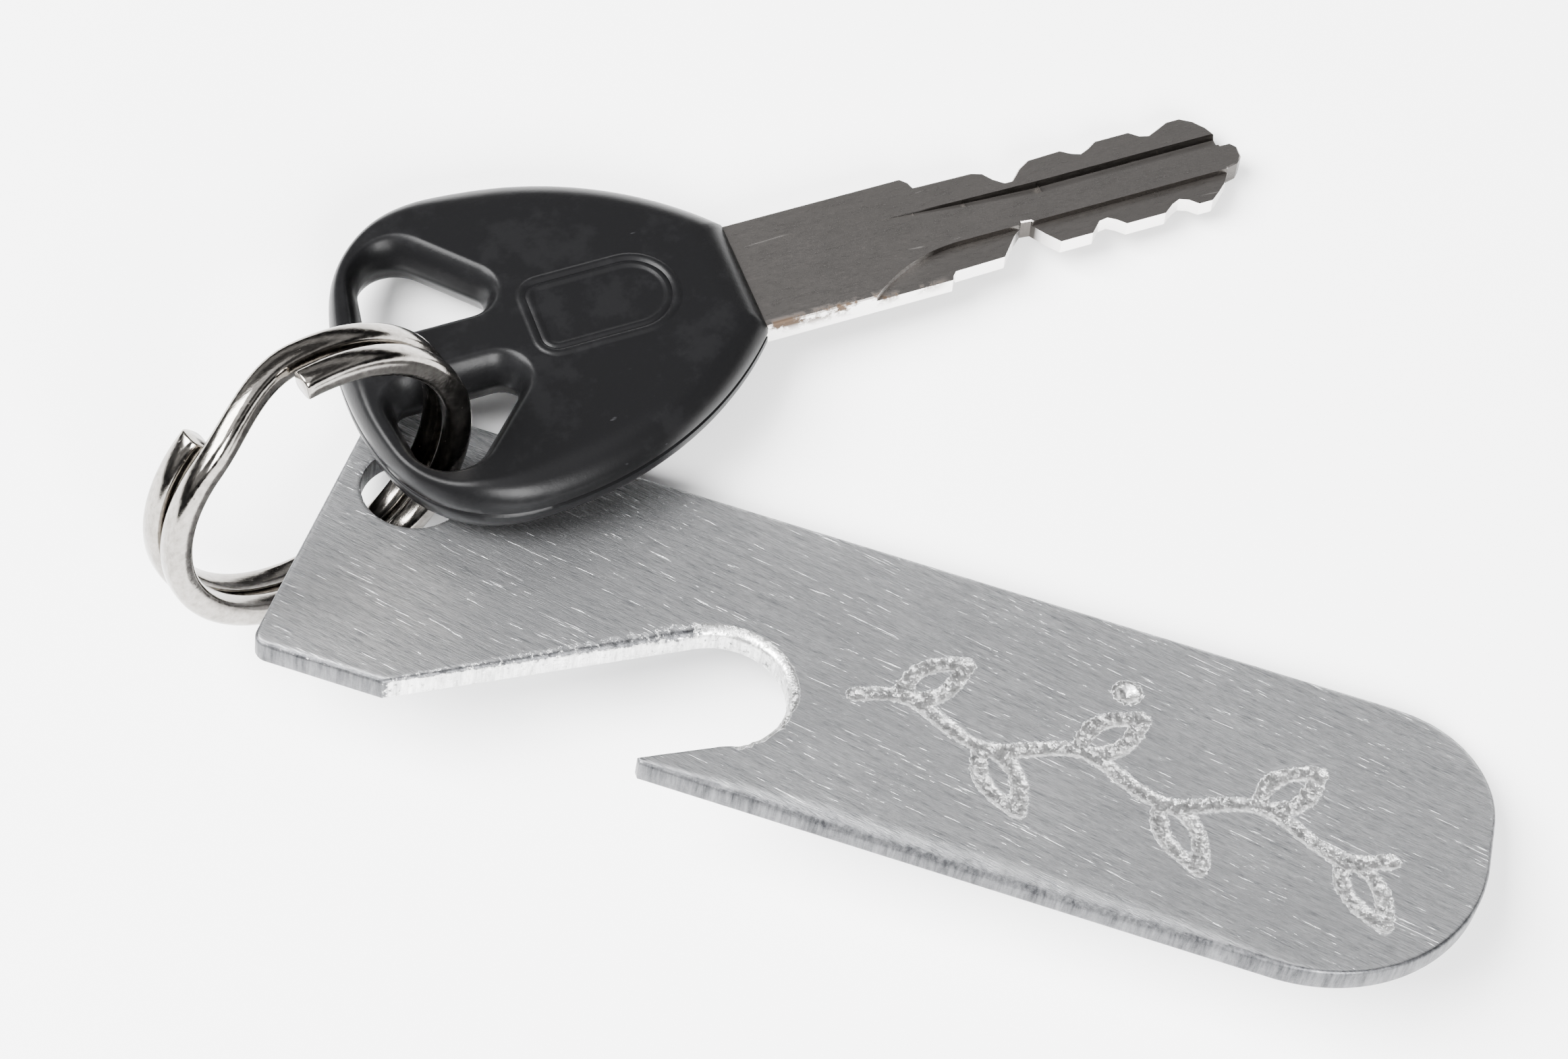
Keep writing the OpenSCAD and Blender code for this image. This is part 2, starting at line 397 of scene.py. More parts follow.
# %% The pen
class Pen:
    """Draws an outline in the XY plane and remembers the name of the stretch at each vertex."""

    def __init__(self, bm, x, y, z, step):
        self.bm, self.z, self.step = bm, z, step
        self.loop, self.names = [bm.verts.new((x, y, z))], [""]

    def keep(self, vertex, name):
        self.loop.append(vertex)
        self.names.append(name)

    def line(self, x, y, name=""):
        start, end = self.loop[-1].co.copy(), Vector((x, y, self.z))
        count = max(1, round((end - start).length / self.step))
        for i in range(count):
            vertex = bmesh.ops.extrude_vert_indiv(self.bm, verts=[self.loop[-1]])["verts"][0]
            vertex.co = start.lerp(end, (i + 1) / count)
            self.keep(vertex, name)

    def arc(self, cx, cy, degrees, name=""):
        radius = (self.loop[-1].co - Vector((cx, cy, self.z))).length
        count = max(2, round(abs(math.radians(degrees)) * radius / self.step))
        for i in range(count):
            spun = bmesh.ops.spin(self.bm, geom=[self.loop[-1]], cent=(cx, cy, self.z), axis=(0, 0, 1),
                                  angle=math.radians(degrees) / count, steps=1)
            self.keep(next(g for g in spun["geom_last"] if isinstance(g, bmesh.types.BMVert)), name)

    def close(self):
        if (self.loop[-1].co - self.loop[0].co).length < self.step / 3:
            last = self.loop.pop()
            self.names[0] = self.names.pop()
            bmesh.ops.pointmerge(self.bm, verts=[self.loop[0], last], merge_co=self.loop[0].co)
        else:
            self.bm.edges.new((self.loop[-1], self.loop[0]))
            self.names[0] = self.names[0] or self.names[1]
        return self.loop


def loop_edges(bm, loop):
    return [bm.edges.get((a, b)) for a, b in zip(loop, loop[1:] + loop[:1])]


def next_loop(bm, loop, place):
    """Extrudes a closed loop and puts each new vertex where place(i) says."""
    grown = bmesh.ops.extrude_edge_only(bm, edges=loop_edges(bm, loop))["geom"]
    fresh = {g for g in grown if isinstance(g, bmesh.types.BMVert)}
    new = [next(e.other_vert(v) for e in v.link_edges if e.other_vert(v) in fresh) for v in loop]
    for i, vertex in enumerate(new):
        vertex.co = place(i)
    return new


def inward(loop):
    """The direction to the inside of a loop that runs anticlockwise, at each vertex."""
    count = len(loop)
    ways = []
    for i in range(count):
        along = loop[(i + 1) % count].co - loop[i - 1].co
        ways.append(Vector((-along.y, along.x, 0)).normalized())
    return ways


def smoothed(values, passes):
    for _ in range(passes):
        after = values[1:] + values[:1]
        values = [(values[i - 1] + 2 * v + after[i]) / 4 for i, v in enumerate(values)]
    return values


print("the pen is ready")

# %% [markdown]
# ## The bar
# The outline follows the cuts that made it: a hook, a slanted slot with a round end, a pointed tooth
# and a large rounded end. The long edge beside the tooth was rubbed round. The slot's upper edge has
# a coarse chamfer that gets wider towards the round end, the round end has a smooth bright one, and
# small chips are left where the file stopped.

# %% Outline of the bar
HALF_W = 12.5
HOOK_X, TOOTH_X = 9.7, 28.0
SLOT_AT, SLOT_R = Vector((31.4, -4.2)), 5.0
END_NEAR, END_NEAR_R = Vector((73.2, 0.5)), 13.0
END_FAR, END_FAR_R = Vector((78.0, 4.5)), 8.0
CORNER_R = 1.0
STEP = 0.3


def tangent_angle(point, centre, radius, side):
    """Angle of the line from a point that touches a circle, on its left (1) or right (-1)."""
    way = centre - point
    return math.degrees(math.atan2(way.y, way.x) + side * math.asin(radius / way.length))


def draw_bar(bm):
    slope_in = tangent_angle(Vector((HOOK_X, -HALF_W)), SLOT_AT, SLOT_R, 1)
    slope_out = tangent_angle(Vector((TOOTH_X, 0.4 - HALF_W)), SLOT_AT, SLOT_R, -1)
    between = END_FAR - END_NEAR
    end_turn = math.degrees(math.atan2(between.y, between.x)
                            - math.acos((END_NEAR_R - END_FAR_R) / between.length))
    first = math.radians(slope_in + 90)
    last = math.radians(end_turn)
    pen = Pen(bm, 0, HALF_W - CORNER_R, 0, STEP)
    pen.line(0, CORNER_R - HALF_W, "ring end")
    pen.arc(CORNER_R, CORNER_R - HALF_W, 90, "corner")
    pen.line(HOOK_X, -HALF_W, "hook")
    pen.line(SLOT_AT.x + SLOT_R * math.cos(first), SLOT_AT.y + SLOT_R * math.sin(first), "slot top")
    pen.arc(SLOT_AT.x, SLOT_AT.y, slope_out - slope_in - 180, "slot end")
    pen.line(TOOTH_X, 0.4 - HALF_W, "slot bottom")
    pen.line(TOOTH_X + 0.25, -HALF_W, "tooth")
    pen.line(END_NEAR.x, -HALF_W, "near edge")
    pen.arc(END_NEAR.x, END_NEAR.y, 90 + end_turn, "round end")
    pen.line(END_FAR.x + END_FAR_R * math.cos(last), END_FAR.y + END_FAR_R * math.sin(last), "round end")
    pen.arc(END_FAR.x, END_FAR.y, 90 - end_turn, "round end")
    pen.line(CORNER_R, HALF_W, "far edge")
    pen.arc(CORNER_R, HALF_W - CORNER_R, 90, "corner")
    return pen.close(), pen.names


# How each stretch was worked: width of the worked edge, its drop, raggedness, and how fresh it is.
EDGE_WORK = {
    "ring end": (0.3, 0.22, 0.02, 0.15),
    "corner": (0.3, 0.3, 0.02, 0.2),
    "hook": (0.42, 0.36, 0.07, 0.35),
    "slot top": (0.66, 0.55, 0.24, 0.42),
    "slot end": (0.72, 0.62, 0.05, 1.0),
    "slot bottom": (0.16, 0.14, 0.06, 0.3),
    "tooth": (0.3, 0.3, 0.02, 0.2),
    "near edge": (1.5, 0.75, 0.1, 0.1),
    "round end": (0.34, 0.3, 0.05, 0.1),
    "far edge": (0.22, 0.16, 0.03, 0.2),
    "": (0.3, 0.2, 0.0, 0.2)}
# How bright each wall is: files and saws leave some walls white and others dull.
WALL_FRESH = {"slot top": 1.0, "slot end": 0.9, "slot bottom": 0.25, "round end": 0.06}
print("edge work is set for", len(EDGE_WORK) - 1, "stretches")

# %% [markdown]
# ## The engraving
# The real bar has hand-cut marks on its face. Here they are a plain running vine of this lesson's
# own: a wavy stem with a leaf at each bend. A hand graver rocks from side to side as it is pushed,
# so the groove isn't smooth. It is cut into a fine grid of the face, with its depth worked out from
# the distance to the nearest stroke, a chatter along the stroke, and a small burr on both sides.

# %% Strokes
VINE_X0, VINE_X1, VINE_Y, VINE_SWING = 40.5, 79.5, -1.2, 1.1
LEAVES = 6
LEAF_LONG, LEAF_TALL, LEAF_BULGE = 3.6, 4.6, 1.25
STEM_PARTS, LEAF_PARTS = 160, 24
PUNCH_AT, PUNCH_R = Vector((58.8, 6.4, 0)), 0.85


def stem_point(t):
    swing = VINE_SWING * math.sin(math.pi * LEAVES * t)
    return Vector((VINE_X0 + (VINE_X1 - VINE_X0) * t, VINE_Y + swing, 0))


def leaf_side(root, tip, bulge):
    """Points along one side of a leaf, which bulges to the left or the right."""
    way = tip - root
    aside = Vector((-way.y, way.x, 0)).normalized() * bulge
    shares = [i / LEAF_PARTS for i in range(LEAF_PARTS + 1)]
    return [root + way * t + aside * math.sin(math.pi * t ** 0.85) for t in shares]


def strokes():
    lines = [[stem_point(i / STEM_PARTS) for i in range(STEM_PARTS + 1)]]
    for k in range(LEAVES):
        side = 1 if k % 2 == 0 else -1
        root = stem_point((k + 0.5) / LEAVES)
        tip = root + Vector((LEAF_LONG, side * LEAF_TALL, 0))
        lines += [leaf_side(root, tip, LEAF_BULGE), leaf_side(root, tip, -LEAF_BULGE)]
    return lines


def stroke_tree():
    """Every point of every stroke at 0.1 mm, with its way along and its distance from the start."""
    points = []
    for k, line in enumerate(strokes()):
        run = 7.0 * k
        for a, b in zip(line, line[1:]):
            count = max(1, round((b - a).length / 0.1))
            for i in range(count):
                t = i / count
                points.append((a.lerp(b, t), (b - a).normalized(), run + (b - a).length * t))
            run += (b - a).length
    tree = KDTree(len(points))
    for i, (at, _, _) in enumerate(points):
        tree.insert(at, i)
    tree.balance()
    return tree, points


vine_tree, vine_points = stroke_tree()
print("vine has", len(vine_points), "points along", len(strokes()), "strokes")

# %% Depth of the engraving
GROOVE_HALF, GROOVE_DEEP, BURR_HIGH = 0.56, 0.17, 0.05
CHATTER_STEP = 0.62                       # how far the graver goes at each rock from side to side
BURR_REACH, PUNCH_REACH = 1.5, 1.35       # how far the raised rims go, against the hollows' radii


def engraved(at):
    """Height of the face at a point, and how freshly it is cut there."""
    _, index, distance = vine_tree.find(at)
    near, way, run = vine_points[index]
    side = (at - near).cross(way).z
    half = GROOVE_HALF * (1 + 0.22 * noise.noise(Vector((run * 0.6, 3.1, 0))))
    height = fresh = 0.0
    if distance < half:
        rocking = 0.2 * math.sin(run * 2 * math.pi / CHATTER_STEP + side * 3)
        chatter = 0.72 + rocking + 0.35 * noise.noise(Vector((run * 1.5, side * 7, 5)))
        height = -GROOVE_DEEP * (1 - (distance / half) ** 2) ** 0.6 * chatter
        fresh = 1.0
    elif distance < half * BURR_REACH:
        past = (distance - half) / (half * (BURR_REACH - 1))
        ragged = 0.6 + 0.9 * noise.noise(Vector((run * 2.3, side * 4, 9)))
        height = BURR_HIGH * ragged * math.sin(math.pi * past)
        fresh = 0.8 * (1 - past)
    punch = (at - PUNCH_AT).length / PUNCH_R
    if punch < PUNCH_REACH:
        lumps = 0.25 * noise.noise(at * 2.6)
        fresh = 1.0
        if punch < 1:
            height = -0.5 * (1 - punch) + lumps * 0.4
        else:
            height = 0.16 * (PUNCH_REACH - punch) * (1 + 2 * lumps)
    return height, fresh


print("deepest at the punch mark:", round(engraved(PUNCH_AT)[0], 2), "mm")

# %% Build the bar
GRID_X, GRID_Y, GRID_STEP = (39.0, 81.2), (-8.6, 8.6), 0.16
HOLE_R = 3.75
# Rings round the hole on the face and on the back: radius, height and how fresh the metal is.
HOLE_TOP = [(3.84, -0.05, 0.4), (4.0, 0.0, 0.3), (4.15, 0.0, 0.0)]
HOLE_BACK = [(HOLE_R, 0.2 - BAR_T, 0.2), (3.9, -BAR_T, 0.3), (4.1, -BAR_T, 0.0)]
# Rings of the wall, from its middle down to the back: how far in, and how high.
WALL_RINGS = [(0.0, -BAR_T / 2), (0.0, 0.25 - BAR_T), (0.07, 0.07 - BAR_T),
              (0.25, -BAR_T), (0.4, -BAR_T)]
FILED_WALLS = {"slot top", "slot end", "slot bottom"}


def ragged_edge(names, loop):
    """Width, drop and freshness of the worked edge at each vertex of the outline."""
    rows = [list(EDGE_WORK[name]) for name in names]
    for row, vertex, name in zip(rows, loop, names):
        if name == "slot top":
            along = (vertex.co.x - HOOK_X) / (SLOT_AT.x - SLOT_R - HOOK_X)
            row[0] *= 0.45 + 0.8 * along
            row[1] *= 0.5 + 0.6 * along
            row[2] *= 0.2 + 1.1 * along ** 2
        if name == "near edge":
            ramp = min(1, (vertex.co.x - TOOTH_X) / 14, (END_NEAR.x + 3 - vertex.co.x) / 14)
            row[0] = 0.25 + (row[0] - 0.25) * ramp
            row[1] = 0.25 + (row[1] - 0.25) * ramp
        if name == "slot end" and vertex.co.y < SLOT_AT.y:
            row[0] *= 0.65
            row[2] = 0.3
    columns = [smoothed(list(column), 6) for column in zip(*rows)]
    widths, drops, rough, fresh = columns
    for i, vertex in enumerate(loop):
        shake = rough[i] * (noise.noise(vertex.co * 1.3) + 0.9 * noise.noise(vertex.co * 3.1))
        widths[i] = max(0.08, widths[i] + shake)
        drops[i] = max(0.06, drops[i] + shake * 0.4)
    return widths, drops, fresh


def build_edges(bm, cut):
    """The bar's outline grown up to the face and down to the back. Gives back its two last rings."""
    outline, names = draw_bar(bm)
    ways = inward(outline)
    widths, drops, fresh = ragged_edge(names, outline)
    flat = [v.co.copy() for v in outline]
    waves = [0.05 * noise.noise(Vector((p.x * 2.1, p.y * 2.1, 2))) for p in flat]
    wave = [depth if name in FILED_WALLS else 0.0 for depth, name in zip(waves, names)]

    def at(i, inset, z):
        return flat[i] + ways[i] * inset + Vector((0, 0, z))

    shown = smoothed([WALL_FRESH.get(name, 0.0) for name in names], 3)
    for i, vertex in enumerate(outline):                # the pen's own loop becomes the wall's top
        vertex.co = at(i, wave[i], -drops[i])
        vertex[cut] = shown[i]
    rim = outline
    for turn in (30, 60, 90):                           # roll or chamfer up to the face
        across, up = 1 - math.cos(math.radians(turn)), 1 - math.sin(math.radians(turn))
        rim = next_loop(bm, rim, lambda i: at(i, widths[i] * across, -drops[i] * up))
        for i, vertex in enumerate(rim):
            vertex[cut] = fresh[i]
    rim = next_loop(bm, rim, lambda i: at(i, widths[i] + 0.15, 0))
    for vertex in rim:                                  # the face itself starts here, unworn
        vertex[cut] = 0.0
    low = outline
    for inset, z in WALL_RINGS:
        low = next_loop(bm, low, lambda i: at(i, inset + (wave[i] if inset == 0 else 0), z))
        for i, vertex in enumerate(low):
            vertex[cut] = shown[i] if inset < 0.2 else 0.0
    return rim, low


def build_hole(bm, cut):
    """The drilled hole's wall and its two rims. Gives back the last ring of each."""
    middle = Matrix.Translation((HOLE.x, HOLE.y, -0.2))
    made = bmesh.ops.create_circle(bm, segments=72, radius=HOLE_R, matrix=middle)["verts"]
    start = sorted(made, key=lambda v: math.atan2(v.co.y - HOLE.y, v.co.x - HOLE.x))
    away = [Vector((v.co.x - HOLE.x, v.co.y - HOLE.y, 0)).normalized() for v in start]
    for v in start:
        v[cut] = 0.2
    last = []
    for rings in (HOLE_TOP, HOLE_BACK):
        ring = start
        for radius, z, fresh in rings:
            ring = next_loop(bm, ring, lambda i: Vector((HOLE.x, HOLE.y, z)) + away[i] * radius)
            for v in ring:
                v[cut] = fresh
        last.append(ring)
    return last


def build_engraving(bm, cut):
    """The fine grid that carries the engraving. Gives back the edges of its border."""
    size_x, size_y = GRID_X[1] - GRID_X[0], GRID_Y[1] - GRID_Y[0]
    middle = Matrix.Translation(((GRID_X[0] + GRID_X[1]) / 2, (GRID_Y[0] + GRID_Y[1]) / 2, 0))
    grid = bmesh.ops.create_grid(
        bm, x_segments=round(size_x / GRID_STEP), y_segments=round(size_y / GRID_STEP), size=0.5,
        matrix=middle @ Matrix.Diagonal((size_x, size_y, 1, 1)))["verts"]
    border = list({e for v in grid for e in v.link_edges if len(e.link_faces) == 1})
    for v in grid:
        v.co.z, v[cut] = engraved(v.co)
    return border


def build_bar():
    bm = bmesh.new()
    cut = bm.verts.layers.float.new("cut")
    rim, low = build_edges(bm, cut)
    hole_rim, hole_low = build_hole(bm, cut)
    top = loop_edges(bm, rim) + loop_edges(bm, hole_rim) + build_engraving(bm, cut)
    bmesh.ops.triangle_fill(bm, use_beauty=True, edges=top, normal=(0, 0, 1))
    bottom = loop_edges(bm, low) + loop_edges(bm, hole_low)
    bmesh.ops.triangle_fill(bm, use_beauty=True, edges=bottom, normal=(0, 0, -1))
    return bm


bar_mesh = build_bar()
print("bar has", len(bar_mesh.faces), "faces and",
      sum(e.is_boundary for e in bar_mesh.edges), "open edges")

# %% Put a piece in its place
def place_piece(name, bm, frame_of_piece, body, node, finish, sharp=35):
    """Turns a drawing into a finished piece of its body, which stands for the CAD node."""
    bmesh.ops.recalc_face_normals(bm, faces=bm.faces)
    bmesh.ops.transform(bm, matrix=frame_of_piece, verts=bm.verts)
    mesh = bpy.data.meshes.new(name)
    for face in bm.faces:
        face.smooth = True
    bm.to_mesh(mesh)
    bm.free()
    mesh.set_sharp_from_angle(angle=math.radians(sharp))
    mesh.materials.append(finish)
    piece = bpy.data.objects.new(name, mesh)
    bpy.context.scene.collection.objects.link(piece)
    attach(piece, body)
    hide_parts(node)
    return piece


bar_piece = place_piece("engraved_bar", bar_mesh, BAR, "opener", "opener_plate", aluminium)
print(bar_piece.name, "is in place")

# %% [markdown]
# ## The split ring
# A split ring is one length of wire, pressed flat where its two turns meet and round outside, wound
# almost twice round. The section is a small face, and spinning it sweeps the wire. Where the wire
# crosses from the back turn to the front one, each small step of the spin also moves along the axis,
# with an easing, so that the bend is soft. The ends are cut square and have a small burr.

# %% Nickel
def make_nickel():
    material, tree, shader, place = new_finish("nickel_plate", RING)
    rub = use_group(tree, grain_group, Vector=place, Stretch=(1.0, 1.0, 3.0), Fineness=1.6)
    grime = use_group(tree, patch_group, Vector=place, Size=1.7, Amount=0.2)
    scratch = use_group(tree, scratch_group, Vector=place, Stretch=(0.4, 0.4, 2.5), Size=2.0, Amount=0.4)
    colour = mix_colour(tree, rub.outputs["Shade"], (0.19, 0.177, 0.16, 1), (0.34, 0.32, 0.295, 1))
    colour = mix_colour(tree, grime.outputs["Mask"], colour, (0.10, 0.085, 0.07, 1))
    tree.links.new(colour, shader.inputs["Base Color"])
    rough = mix_value(tree, rub.outputs["Shade"], 0.08, 0.18)
    rough = plus(tree, rough, scratch.outputs["Mask"], 0.2)
    rough = plus(tree, rough, grime.outputs["Mask"], 0.35)
    tree.links.new(rough, shader.inputs["Roughness"])
    height = plus(tree, rub.outputs["Height"], scratch.outputs["Mask"], -0.3)
    tree.links.new(bump(tree, height, 0.35, 0.00004), shader.inputs["Normal"])
    shader.inputs["Metallic"].default_value = 1.0
    return material


nickel = make_nickel()
print("made", nickel.name)

# %% Wire
RING_R, WIRE_W, WIRE_H, PITCH = 11.4, 2.0, 1.9, 2.3
WIRE_START, CROSS_START, CROSS_END, WIRE_END = 138, 455, 502, 819
WIRE_STEP = 3


def wire_section(bm, angle, z):
    """The wire's section: flat on the side of its turn's face, round outside."""
    made = bmesh.ops.create_circle(bm, cap_ends=True, segments=28, radius=1.0)["verts"]
    for v in made:
        x, y = v.co.x, v.co.y
        power = 0.62 if x < 0.2 else 0.9               # squarer inside, rounder outside
        v.co.x = math.copysign(abs(x) ** power, x) * WIRE_W / 2
        v.co.y = math.copysign(abs(y) ** 0.62, y) * WIRE_H / 2
    turn = Matrix.Rotation(math.radians(angle), 4, "Z")
    stand = Matrix.Rotation(math.radians(90), 4, "X")
    move = Matrix.Translation((0, 0, z)) @ turn @ Matrix.Translation((RING_R, 0, 0)) @ stand
    bmesh.ops.transform(bm, matrix=move, verts=made)
    return list(bm.faces)


def sweep(bm, geometry, degrees, rise):
    spun = bmesh.ops.spin(bm, geom=geometry, cent=(0, 0, 0), axis=(0, 0, 1), dvec=(0, 0, rise),
                          angle=math.radians(degrees), steps=1)
    return spun["geom_last"]


def crossing(angle):
    """How far the wire has crossed from the back turn to the front one, with an easing."""
    share = (angle - CROSS_START) / (CROSS_END - CROSS_START)
    return PITCH * (0.5 - 0.5 * math.cos(math.pi * min(1, max(0, share))))


def build_ring():
    bm = bmesh.new()
    end = wire_section(bm, WIRE_START, -PITCH / 2)
    end = end + [e for f in end for e in f.edges] + [v for f in end for v in f.verts]
    angle = WIRE_START
    while angle < WIRE_END - 0.01:
        step = min(WIRE_STEP, WIRE_END - angle)
        end = sweep(bm, end, step, crossing(angle + step) - crossing(angle))
        angle += step
    tips = [f for f in bm.faces if len(f.verts) > 4]
    rims = list({e for f in tips for e in f.edges})
    bmesh.ops.bevel(bm, geom=rims, offset=0.14, offset_type="OFFSET", affect="EDGES", segments=2,
                    profile=0.5, material=-1)
    return bm, len(tips)


ring_mesh, tips = build_ring()
print("wire has", len(ring_mesh.faces), "faces,", tips, "cut ends and",
      sum(e.is_boundary for e in ring_mesh.edges), "open edges")
ring_piece = place_piece("split_ring_wire", ring_mesh, RING, "ring", "split_ring", nickel, 50)
print(ring_piece.name, "is in place")

# %% [markdown]
# ## The key's blade
# The blank is a flat steel strip. A disc cutter has milled a groove along its middle and a thin strip
# along one edge, on both faces, and each cut runs out in a long curve where the disc was lifted. The
# same is done here: the outline is drawn with the pen and extruded, and discs cut the grooves with
# Boolean modifiers that are applied at once.

# %% Steel
def make_steel():
    material, tree, shader, place = new_finish("worn_steel", KEY)
    grain = use_group(tree, grain_group, Vector=place, Stretch=(0.25, 1.0, 1.0), Fineness=5.0)
    scratch = use_group(tree, scratch_group, Vector=place, Stretch=(0.08, 1.0, 1.0), Size=1.4,
                        Amount=0.5)
    specks = use_group(tree, patch_group, Vector=place, Size=0.9, Amount=0.2)
    flakes = use_group(tree, patch_group, Vector=place, Size=0.55, Amount=0.62)
    split = add(tree, "ShaderNodeSeparateXYZ", Vector=place)
    low_edge = math_node(tree, "MULTIPLY", spread(tree, split.outputs["Y"], -4.4, -4.8),
                         spread(tree, split.outputs["X"], 14.5, 13.0))
    upper = spread(tree, split.outputs["Z"], -0.5, 0.5)
    low_edge = math_node(tree, "MULTIPLY", low_edge, upper)
    dirt_mask = math_node(tree, "MAXIMUM", math_node(tree, "MULTIPLY", specks.outputs["Mask"], 0.3),
                          math_node(tree, "MULTIPLY", flakes.outputs["Mask"], low_edge))
    side = spread(tree, facing(tree, KEY), 0.7, 0.3)
    in_groove = math_node(tree, "MULTIPLY", spread(tree, split.outputs["Y"], -2.9, -2.3),
                          spread(tree, split.outputs["Y"], 1.9, 1.6))
    # The side walls outside the groove are painted near white: fresh cut metal together with a painted
    # highlight.
    fresh = math_node(tree, "MULTIPLY", side, math_node(tree, "SUBTRACT", 1.0, in_groove))
    colour = mix_colour(tree, grain.outputs["Shade"], (0.20, 0.187, 0.178, 1), (0.30, 0.283, 0.27, 1))
    # Painted shade: the walls inside the groove are coloured near black, as if they stood in shadow.
    painted_groove_shade = math_node(tree, "MULTIPLY", side, in_groove)
    colour = mix_colour(tree, painted_groove_shade, colour, (0.06, 0.055, 0.05, 1))
    colour = mix_colour(tree, scratch.outputs["Mask"], colour, (0.42, 0.40, 0.38, 1))
    colour = mix_colour(tree, fresh, colour, (0.9, 0.88, 0.86, 1))
    colour = mix_colour(tree, dirt_mask, colour, (0.10, 0.07, 0.05, 1))
    tree.links.new(colour, shader.inputs["Base Color"])
    rough = plus(tree, mix_value(tree, grain.outputs["Shade"], 0.36, 0.26), dirt_mask, 0.4)
    tree.links.new(rough, shader.inputs["Roughness"])
    height = plus(tree, grain.outputs["Height"], scratch.outputs["Mask"], -0.4)
    tree.links.new(bump(tree, height, 0.5, 0.00003), shader.inputs["Normal"])
    shader.inputs["Metallic"].default_value = 1.0
    return material


steel = make_steel()
print("made", steel.name)

# %% Blade outline
SHOULDER, BLADE_T = 5.0, 2.0
# The blade goes on into the head: where it gets narrower, by how much a side, and where it ends.
IN_HEAD, TANG_STEP, TANG_END = -0.4, 1.2, -3.0
# Corners of the cut edges, as distance from the head and height over the blade's middle.
UPPER_CUTS = [
    (14.2, 5.0), (14.7, 4.5), (14.9, 3.9), (19.6, 3.8), (20.4, 3.5), (21.0, 2.7), (21.7, 2.1),
    (22.3, 2.1), (23.2, 3.0), (24.2, 3.6), (26.9, 3.7), (27.6, 3.2), (28.3, 2.9), (29.0, 3.2),
    (29.8, 3.7), (32.6, 3.7), (33.3, 3.1), (34.0, 2.9), (34.9, 3.3), (35.8, 3.7), (36.9, 3.7),
    (37.8, 3.1), (38.5, 2.2), (38.8, 1.5)]
TIP = [(38.8, 0.2), (39.6, 0.2), (40.0, -0.3), (39.9, -1.3), (39.4, -1.8)]
LOWER_CUTS = [
    (38.5, -2.0), (37.9, -2.9), (37.1, -3.6), (36.3, -4.2), (35.2, -4.2), (34.6, -3.6),
    (33.9, -3.3), (33.2, -3.6), (32.4, -4.2), (29.2, -4.2), (28.6, -3.6), (28.0, -3.2),
    (27.3, -3.3), (26.4, -4.2), (23.8, -4.2), (23.0, -3.2), (22.2, -2.0), (21.4, -1.9),
    (20.6, -2.6), (19.2, -4.2), (15.2, -4.3), (14.9, -4.6), (14.7, -5.0)]


# Rings of the blade's edge, from one face to the other: how far in, and how high.
BLADE_EDGE = 0.1
BLADE_ROWS = [(0.0, -0.9), (0.0, -0.3), (0.0, 0.3), (0.0, 0.9), (BLADE_EDGE, BLADE_T / 2)]


def draw_blade(bm):
    pen = Pen(bm, TANG_END, TANG_STEP - SHOULDER, 0, 0.6)
    pen.line(IN_HEAD, TANG_STEP - SHOULDER)
    pen.line(IN_HEAD, -SHOULDER)
    for x, y in reversed(LOWER_CUTS):
        pen.line(x, y)
    for x, y in list(reversed(TIP)) + list(reversed(UPPER_CUTS)):
        pen.line(x, y)
    pen.line(IN_HEAD, SHOULDER)
    pen.line(IN_HEAD, SHOULDER - TANG_STEP)
    pen.line(TANG_END, SHOULDER - TANG_STEP)
    return pen.close()


def build_blade():
    bm = bmesh.new()
    loop = draw_blade(bm)
    ways = inward(loop)
    flat = [v.co.copy() for v in loop]
    first = loop
    for i, v in enumerate(loop):
        v.co = flat[i] + ways[i] * BLADE_EDGE + Vector((0, 0, -BLADE_T / 2))
    for inset, z in BLADE_ROWS:
        loop = next_loop(bm, loop, lambda i: flat[i] + ways[i] * inset + Vector((0, 0, z)))
    inner = [next_loop(bm, ends, lambda i: flat[i] + ways[i] * 0.22 + Vector((0, 0, z)))
             for ends, z in ((loop, BLADE_T / 2), (first, -BLADE_T / 2))]
    for ends in inner:
        bmesh.ops.contextual_create(bm, geom=loop_edges(bm, ends))
    bmesh.ops.recalc_face_normals(bm, faces=bm.faces)
    return bm


print("blade outline uses", len(UPPER_CUTS) + len(LOWER_CUTS) + len(TIP), "corners")

# %% Milling
GROOVE_Y, GROOVE_DEPTH = 0.87, 0.6
# Stations along the groove: distance from the head, place across the blade, and size.
GROOVE_ALONG = [(10.9, 1.7, 0.02), (14.0, 1.5, 0.3), (18.0, 1.2, 0.62),
                (24.0, GROOVE_Y, 1.0), (43.0, GROOVE_Y, 1.0)]
STRIP_Y, STRIP_DEPTH, STRIP_FROM, STRIP_DISC = -2.1, 0.55, 16.4, 12.0


def groove_tool(bm):
    """A bar with a trapezium section that starts as a point at the surface and gets wider and deeper."""
    made = bmesh.ops.create_circle(bm, cap_ends=True, segments=4, radius=1.0)["verts"]
    corners = {(1, 0): (-0.62, 0.3), (0, 1): (0.62, 0.3), (-1, 0): (0.4, -1.0), (0, -1): (-0.4, -1.0)}
    section = {v: corners[(round(v.co.x), round(v.co.y))] for v in made}
    face = list(bm.faces)[0]
    for k, (x, y, size) in enumerate(GROOVE_ALONG):
        if k:
            grown = bmesh.ops.extrude_face_region(bm, geom=[face])["geom"]
            face = next(g for g in grown if isinstance(g, bmesh.types.BMFace))
            old = dict(section)
            section = {v: old[next(e.other_vert(v) for e in v.link_edges if e.other_vert(v) in old)]
                       for v in grown if isinstance(v, bmesh.types.BMVert)}
        for v, (across, down) in section.items():
            v.co = (x, y + across * size, BLADE_T / 2 + down * GROOVE_DEPTH * size)


